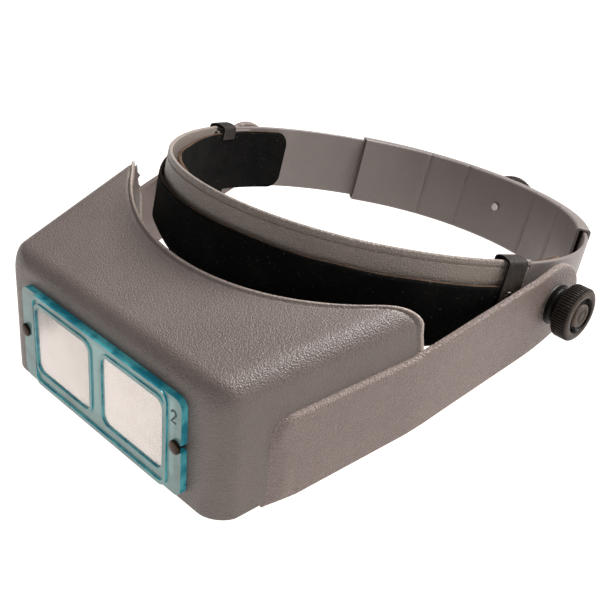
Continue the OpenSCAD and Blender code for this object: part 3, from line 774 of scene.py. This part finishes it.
def knurled(start, length, radius, recess, ribs, bore):
    """Profile of a knurled knob head: fine ribs round its side, a broad rim and a sunk ring in its face."""
    end = start + length
    back = [(end - BORE_STOP, 0), (end - BORE_STOP, bore), (start, bore), (start, radius - 3.2),
            (start + 0.5, radius - 1.5)]
    side = [(start + 1.1, radius - 0.5, 0.6), (start + 1.7, radius - 0.05, 1), (end - 1.3, radius - 0.05, 1),
            (end - 0.8, radius - 0.35, 0.9), (end - 0.3, radius - 1.1, 0.3)]
    face = [(end, radius - 2.0), (end, recess + 2.9), (end - 0.3, recess + 2.6),
            (end - SUNK + 0.2, recess + 2.4), (end - SUNK, recess + 2.2), (end - SUNK, 0)]
    return dict(profile=back + side + face, ribs=ribs, rib_depth=0.42)


def knob_wear(radius, end):
    """Worn pale on the face's rim, and a little on the ribs' crowns."""
    def wear_and_highlight(p):
        r = math.hypot(p.y, p.z)
        crown = 0.1 * smooth_step((r - (radius - 0.3)) / 0.25)
        rim = smooth_step((p.x - (end - 0.9)) / 0.5) * smooth_step((r - CAP_R - 2.6) / 0.4)
        return max(crown, 0.3 * rim)
    return wear_and_highlight


def cap_profile(knob_end, radius):
    """Profile of the disc in a knob's face: it stands a little proud and has a fine ring round its middle."""
    start, end = knob_end - SUNK + 0.1, knob_end + 0.2
    edge = [(start, 0), (start, radius - 0.1), (end - 0.35, radius - 0.1), (end - 0.08, radius - 0.4),
            (end, radius - 0.8)]
    return edge + [(end, radius * 0.6), (end - 0.22, radius * 0.55), (end - 0.22, radius * 0.46),
                   (end, radius * 0.4), (end, 0)]


def cap_wear(radius):
    """Worn pale at the edge of a cap."""
    return lambda p: 0.7 * smooth_step((math.hypot(p.y, p.z) - radius + 1.2) / 0.8)


def collar_profile(start, radius, bore):
    """Profile of a collar: a rim at the arm, then a waist."""
    waist = [(1.5, 1.1), (2.4, 1.4), (3.4, 1.1), (3.8, 0.6), (4.0, 0.2)]
    rim = [(0.1, 0.3), (0.4, 0.0), (0.9, 0.0), (1.2, 0.4)]
    return ([(start + 0.1, bore)] + [(start + x, radius - inset) for x, inset in rim + waist]
            + [(start + 4.0, bore), (start + 0.1, bore)])


for side in (1, -1):
    name, end = ("left" if side > 0 else "right"), KNOB_IN + KNOB_LEN
    grip = knurled(KNOB_IN, KNOB_LEN, KNOB_R, CAP_R, KNOB_RIBS, BOLT_R + FIT)
    turned_piece(f"knob_{name}_grip", **grip, place=BAND, body=f"knob_{name}", finish=KNOB_BLACK,
                 slot="knob_plastic", stands_for=[f"pivot_knob_{name}"], side=side,
                 wear_and_highlight=knob_wear(KNOB_R, end))
    turned_piece(f"knob_{name}_disc", cap_profile(end, CAP_R), BAND, f"knob_{name}", CAP_BLACK,
                 "cap_plastic", [f"knob_cap_{name}"], side, wear_and_highlight=cap_wear(CAP_R), steps=64)
    turned_piece(f"collar_{name}", collar_profile(ARM_X + 0.8, COLLAR_R, BOLT_R + FIT), BAND, "headband",
                 KNOB_BLACK, "knob_plastic", [f"pivot_collar_{name}"], side)

adjuster_end = ADJUSTER_IN + ADJUSTER_LEN
REAR = BAND @ Matrix.Translation((0, 0, ADJUSTER_W)) @ Matrix.Rotation(radians(90), 4, "Z")
rear_cap_r, spindle_bore = CAP_R + 1, 1.45
grip = knurled(ADJUSTER_IN, ADJUSTER_LEN, ADJUSTER_R, rear_cap_r, KNOB_RIBS + 6, spindle_bore)
turned_piece("adjuster_grip", **grip, place=REAR, body="adjuster", finish=KNOB_BLACK, slot="knob_plastic",
             stands_for=["adjuster_knob"], wear_and_highlight=knob_wear(ADJUSTER_R, adjuster_end))
turned_piece("adjuster_disc", cap_profile(adjuster_end, rear_cap_r), REAR, "adjuster", CAP_BLACK,
             "cap_plastic", ["adjuster_cap"], wear_and_highlight=cap_wear(rear_cap_r), steps=64)


# ---- headband track ----
SIDE_R = (BAND_A ** 2 + (BAND_B - BAND_END_R) ** 2 - BAND_END_R ** 2) / (2 * (BAND_A - BAND_END_R))
SIDE_C, END_C = SIDE_R - BAND_A, BAND_B - BAND_END_R
JOIN = math.atan2(END_C, SIDE_C)
FRONT_LEN = BAND_END_R * (math.pi / 2 - JOIN)
SIDE_LEN = SIDE_R * 2 * JOIN


def track(u, n=0.0, w=0.0):
    """A point of the headband: u along it from the front's middle towards +X, n outwards, w up."""
    side, d = (1 if u >= 0 else -1), abs(u)
    if d <= FRONT_LEN:
        a, cx, cy, r = -math.pi / 2 + d / BAND_END_R, 0.0, -END_C, BAND_END_R
    elif d <= FRONT_LEN + SIDE_LEN:
        a, cx, cy, r = -JOIN + (d - FRONT_LEN) / SIDE_R, -SIDE_C, 0.0, SIDE_R
    else:
        a, cx, cy, r = JOIN + (d - FRONT_LEN - SIDE_LEN) / BAND_END_R, 0.0, END_C, BAND_END_R
    return Vector((side * (cx + (r + n) * math.cos(a)), cy + (r + n) * math.sin(a), w))


def at_y(y):
    """How far along the +X side the headband passes y."""
    return FRONT_LEN + (math.asin(y / SIDE_R) + JOIN) * SIDE_R


def at_rear(degrees):
    """How far along the headband is an angle from the rear, towards +X."""
    return FRONT_LEN + SIDE_LEN + (math.pi / 2 - radians(degrees) - JOIN) * BAND_END_R


def mirrored_point(p):
    return Vector((-p.x, p.y, p.z))


def swept(section, stations):
    """A closed section of (n, w) swept along the headband, with closed ends."""
    rings = [section(u) for u in stations]
    size = len(rings[0])
    vertices = [track(u, n, w) for u, ring in zip(stations, rings) for n, w in ring]
    faces = grid_faces(len(stations), size, wrap_columns=True)
    faces += [tuple(range(size)), tuple(reversed(range(len(vertices) - size, len(vertices))))]
    bm = bm_of(vertices, faces)
    bmesh.ops.recalc_face_normals(bm, faces=bm.faces)
    return bm


def round_section(n0, n1, w0, w1, r):
    """A rounded rectangle across the headband."""
    points = arc(n1 - r, w1 - r, r, 0, 90, 4) + arc(n0 + r, w1 - r, r, 90, 180, 4)
    return points + arc(n0 + r, w0 + r, r, 180, 270, 4) + arc(n1 - r, w0 + r, r, 270, 360, 4)


LAP_Y = -16.0  # where the front strap ends and the side straps go on
lap_u = at_y(LAP_Y - 0.15)
bead_line = [(0, 14.6), (-0.45, 15.1), (-0.45, 15.5), (0, 16.0)]  # the groove under the strap's upper bead
strap = swept(lambda u: round_section(-STRAP_T, 0, -14, 18, 0.7) + bead_line, spread(-lap_u, lap_u, 160))
piece("front_strap_band", strap, BAND, "headband", STRAP_GREY_PAINTED_LIGHTER, "strap_plastic", ["front_strap"])


def side_strap(side):
    name = "left" if side > 0 else "right"
    stations = [side * u for u in spread(at_y(LAP_Y), at_rear(2), 110)]
    main = swept(lambda u: round_section(-STRAP_T, 0, -16.5, 17, 0.8), stations)
    lap = swept(lambda u: round_section(-2 * STRAP_T + 0.2, -STRAP_T - 0.05, -13, 16, 0.6),
                [side * u for u in spread(at_y(-34), at_y(-6), 16)])
    inner, outer, bore, r = BAND_A - STRAP_T + 0.5, BAND_A + 0.6, BOLT_R + FIT, 11.5
    boss = lathe([(inner, bore), (outer, bore), (outer, r - 0.5), (outer - 0.5, r), (inner, r),
                  (inner, bore)])
    if side < 0:
        bmesh.ops.scale(boss, vec=(-1, 1, 1), verts=boss.verts)
        bmesh.ops.reverse_faces(boss, faces=boss.faces)
    obj = piece(f"side_strap_{name}_band", join(main, lap, boss), BAND, None, SMOOTH_GREY, "strap_plastic",
                [f"side_strap_{name}"])
    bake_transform(obj)


for side in (1, -1):
    side_strap(side)


# ---- leather ----
def hump(u, middle, width):
    return math.exp(-((u - middle) / width) ** 2)


def leather_path(u):
    """The folded band's section, from the inner layer's top edge round the fold to the flap's top edge."""
    n_in, n_out = LEATHER_IN - LEATHER_T, LEATHER_OUT + LEATHER_T
    wave = noise.noise(Vector((u * 0.035, 3.1, 0)))
    ripple = noise.noise(Vector((u * 0.12, 7.7, 0)))
    # the inner layer bows off the strap at the far front, and the fold rides higher there
    bow = 3.2 * hump(u, -92, 30) + 1.0 * hump(u, 60, 50)
    low = LEATHER_LOW + 4.6 * hump(u, -44, 24) - 3.4 * hump(u, 90, 22)
    points = []
    for w in spread(LEATHER_TOP, low + 3, 16):
        high = (w - low) / (LEATHER_TOP - low)
        away = bow * smooth_step(high * 1.1) + 0.5 * high * wave + 0.25 * ripple * high
        points.append((n_in - max(-0.2, away), w + (0.5 * wave + 1.0 * hump(u, -85, 35)) * high))
    for a in spread(180, 360, 12)[1:-1]:
        n = (n_in + n_out) / 2 + (n_out - n_in) / 2 * math.cos(radians(a))
        points.append((n, low + 2.4 + 3.6 * math.sin(radians(a))))
    stand = 2.0 * hump(u, -112, 34) + 0.35 * (1 + wave)
    for w in spread(low + 3, FLAP_TOP, 12):
        high = (w - low) / (FLAP_TOP - low)
        points.append((n_out + stand * smooth_step(high) + 0.2 * ripple * high, w + 0.9 * wave * high))
    return points


def leather():
    flap_end, tab_end, tab_round = at_y(LOOP_Y[1]), at_y(TAB_Y), 8.0
    tabs = [tab_end - tab_round * (1 - math.sin(radians(a))) for a in spread(0, 90, 6)]
    outer = spread(flap_end, tabs[0], 8)[1:-1] + tabs
    stations = [-u for u in reversed(outer)] + spread(-flap_end, flap_end, 220) + outer
    inner_rows, vertices = 17, []  # a path's points from the inner layer's top edge to the fold
    for u in stations:
        path = leather_path(u)
        past = abs(u) - (tab_end - tab_round)
        if past > 0:  # the tab's corners are round
            cut = tab_round - math.sqrt(max(0.0, tab_round ** 2 - past ** 2))
            middle = (LEATHER_TOP + LEATHER_LOW) / 2
            half = (LEATHER_TOP - LEATHER_LOW) / 2
            path = [(n, middle + (w - middle) * (half - cut) / half) for n, w in path]
        vertices += [track(u, n, w) for n, w in path]
    rows = len(vertices) // len(stations)

    def keep(i, j):
        inside = abs(stations[i]) <= flap_end + 1e-6 and abs(stations[i + 1]) <= flap_end + 1e-6
        return inside or j < inner_rows - 1

    bm = bm_of(vertices, grid_faces(len(stations), rows, keep=keep))
    # the fold is rubbed through to the flesh side underneath
    order = [j for i in range(len(stations) - 1) for j in range(rows - 1) if keep(i, j)]
    for f, j in zip(bm.faces, order):
        f.material_index = 1 if inner_rows + 3 <= j <= inner_rows + 7 else 0
    bmesh.ops.delete(bm, geom=[v for v in bm.verts if not v.link_faces], context="VERTS")
    bmesh.ops.recalc_face_normals(bm, faces=bm.faces)
    inward = min(bm.faces, key=lambda f: (f.calc_center_median() - track(0, -5.4, 0)).length)
    if inward.normal.y < 0:
        bmesh.ops.reverse_faces(bm, faces=bm.faces)
    obj = piece("comfort_band_leather", bm, BAND, "headband", [SUEDE, FLESH, CUT_EDGE], "leather",
                ["comfort_band"], sharp=70)
    thick(obj, LEATHER_T, inner=1, rim=2)


leather()


def comfort_loop(side):
    name = "left" if side > 0 else "right"
    half, bend, bend_h, low, inner_low = 0.45, 17.4, 1.65, -4, 12
    out, inn = LEATHER_OUT + LEATHER_T + 0.35 + half, LEATHER_IN - LEATHER_T - 0.1 - half
    middle, reach = (out + inn) / 2, (out - inn) / 2
    rows = [(out, w) for w in spread(low, bend, 10)]
    rows += [(middle + reach * math.cos(radians(a)), bend + bend_h * math.sin(radians(a)))
             for a in spread(0, 180, 8)[1:-1]]
    rows += [(inn, w) for w in spread(bend, inner_low, 4)]
    stations = [side * u for u in spread(at_y(LOOP_Y[0]), at_y(LOOP_Y[1]), 12)]
    vertices = [track(u, n, w) for u in stations for n, w in rows]
    bm = bm_of(vertices, grid_faces(len(stations), len(rows)))
    bmesh.ops.recalc_face_normals(bm, faces=bm.faces)
    outer = max(bm.faces, key=lambda f: side * f.calc_center_median().x)
    if outer.normal.x * side < 0:
        bmesh.ops.reverse_faces(bm, faces=bm.faces)
    obj = piece(f"loop_{name}_leather", bm, BAND, "headband", [LOOP_HIDE, FLESH, LOOP_EDGE], "leather",
                [f"comfort_loop_{name}"], sharp=60)
    thick(obj, 0.9, offset=0, inner=0, rim=2)
    rounded(obj, 0.2, 2, 50)
    surface = SIDE_R + out + half
    angle = math.asin(STUD_Y / surface)
    dome = [(surface + 0.15 + 0.85 * math.sin(radians(a)), STUD_R * math.cos(radians(a)))
            for a in spread(0, 90, 8)]
    stud = lathe([(surface - 0.2, 0), (surface - 0.2, STUD_R), *dome[:-1], (surface + 1.0, 0)], steps=40)
    place = mirrored(BAND, side) @ Matrix.Translation((-SIDE_C, 0, STUD_W)) @ Matrix.Rotation(angle, 4, "Z")
    if side < 0:
        bmesh.ops.reverse_faces(stud, faces=stud.faces)
    piece(f"stud_{name}", stud, place, "headband", STUD_METAL, "pin_metal", [f"loop_stud_{name}"])


for side in (1, -1):
    comfort_loop(side)


# ---- back sleeve ----
def back_sleeve():
    half = at_rear(0)
    near, far = at_y(20), half
    for _ in range(40):  # where the headband is at the sleeve's angle from the rear, about the pivot
        end = (near + far) / 2
        spot = track(end)
        if math.degrees(math.atan2(spot.x, spot.y)) > SLEEVE_ANGLE:
            near = end
        else:
            far = end
    stations = spread(end, 2 * half - end, 170)
    creases = [at_rear(i * CREASE_ANGLE) for i in (2, 1, -1, -2)]
    outer_n, inner_n = CHANNEL[1] + SLEEVE_WALL, CHANNEL[0] - SLEEVE_WALL

    def outside(u):
        groove = max(math.exp(-((u - c) / 0.9) ** 2) for c in creases)
        points = round_section(inner_n, outer_n, *SLEEVE_W, 1.3)
        return [(n + (0.8 * groove if n < inner_n + 0.9 else 0), w) for n, w in points]

    channel = round_section(*CHANNEL, *CHANNEL_W, 0.5)

    def rear_track(u, n, w):
        return track(u, n, w) if u <= half else mirrored_point(track(2 * half - u, n, w))

    size, count, vertices = len(channel), len(stations), []
    for u in stations:
        vertices += [rear_track(u, n, w) for n, w in outside(u)]
    for u in stations:
        vertices += [rear_track(u, n, w) for n, w in channel]
    faces = grid_faces(count, size, wrap_columns=True)
    shift = count * size
    faces += [tuple(i + shift for i in reversed(f)) for f in faces]
    for k in range(size):
        n = (k + 1) % size
        faces.append((k, n, shift + n, shift + k))
        last = (count - 1) * size
        faces.append((last + n, last + k, shift + last + k, shift + last + n))
    bm = bm_of(vertices, faces)
    bmesh.ops.recalc_face_normals(bm, faces=bm.faces)
    obj = piece("sleeve_shell", bm, BAND, "back_sleeve", SMOOTH_GREY, "strap_plastic", ["back_sleeve"],
                sharp=40)
    rounded(obj, 0.35, 2, 60)


back_sleeve()


# ---- carried-over CAD nodes ----
FINISHES = (
    (STEEL, ("adjuster_spindle", "lens_pin_clip_left", "lens_pin_clip_right", "temple_rivets")),
    (DARK_STEEL, ("pivot_bolt_left", "pivot_bolt_right", "spring_washer_left", "spring_washer_right")),
    (RUBBER, ("friction_washer_left", "friction_washer_right")),
    (IVORY, ("adjuster_pinion",)),
)
for finish, nodes in FINISHES:
    for node in nodes:
        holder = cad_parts[node]
        holder.data.materials.clear()
        holder.data.materials.append(finish)
        rounded(holder, 0.15, 2, 50)


# ---- floor, lights ----
def floor():
    m = Nodes("pale floor")
    tone = m.mix(m.ramp(m.noise(6, 3), 0.3, 0.7), rgb(100, 100, 99), rgb(108, 108, 107))
    glow = m.mix(m.ramp(m.noise(6, 3), 0.3, 0.7), rgb(255, 248, 244), rgb(255, 250, 247))
    m.set(Base_Color=tone, Roughness=0.9, Emission_Color=glow, Emission_Strength=1.18)
    half = 3.0
    corners = [(-half, -half, 0), (half, -half, 0), (half, half, 0), (-half, half, 0)]
    obj = piece("floor", (corners, [(0, 1, 2, 3)]), Matrix.Identity(4), None, m.made)
    obj.location.z = cad_box[0].z - 0.0002


def softbox(name, place, aim, size, power):
    light = bpy.data.lights.new(name, "AREA")
    light.shape, light.size, light.size_y, light.energy = "RECTANGLE", size[0], size[1], power
    obj = bpy.data.objects.new(name, light)
    obj.location = place
    obj.rotation_mode = "QUATERNION"
    obj.rotation_quaternion = (Vector(aim) - Vector(place)).to_track_quat("-Z", "Y")
    bpy.context.scene.collection.objects.link(obj)


floor()
world = bpy.data.worlds.new("studio")
bpy.context.scene.world = world
world.use_nodes = True
world.node_tree.nodes["Background"].inputs["Color"].default_value = (1, 1, 1, 1)
world.node_tree.nodes["Background"].inputs["Strength"].default_value = 0.2
softbox("key", (0.22, 0.62, 1.05), (0, 0, 0.04), (0.6, 0.6), 27)
softbox("rim", (0.62, 0.72, 0.72), (0, 0, 0.04), (0.2, 0.2), 3)
softbox("fill", (0.2, -1.0, 0.8), (0, 0, 0.04), (0.9, 0.7), 1)
bpy.context.scene.view_settings.view_transform = "Standard"
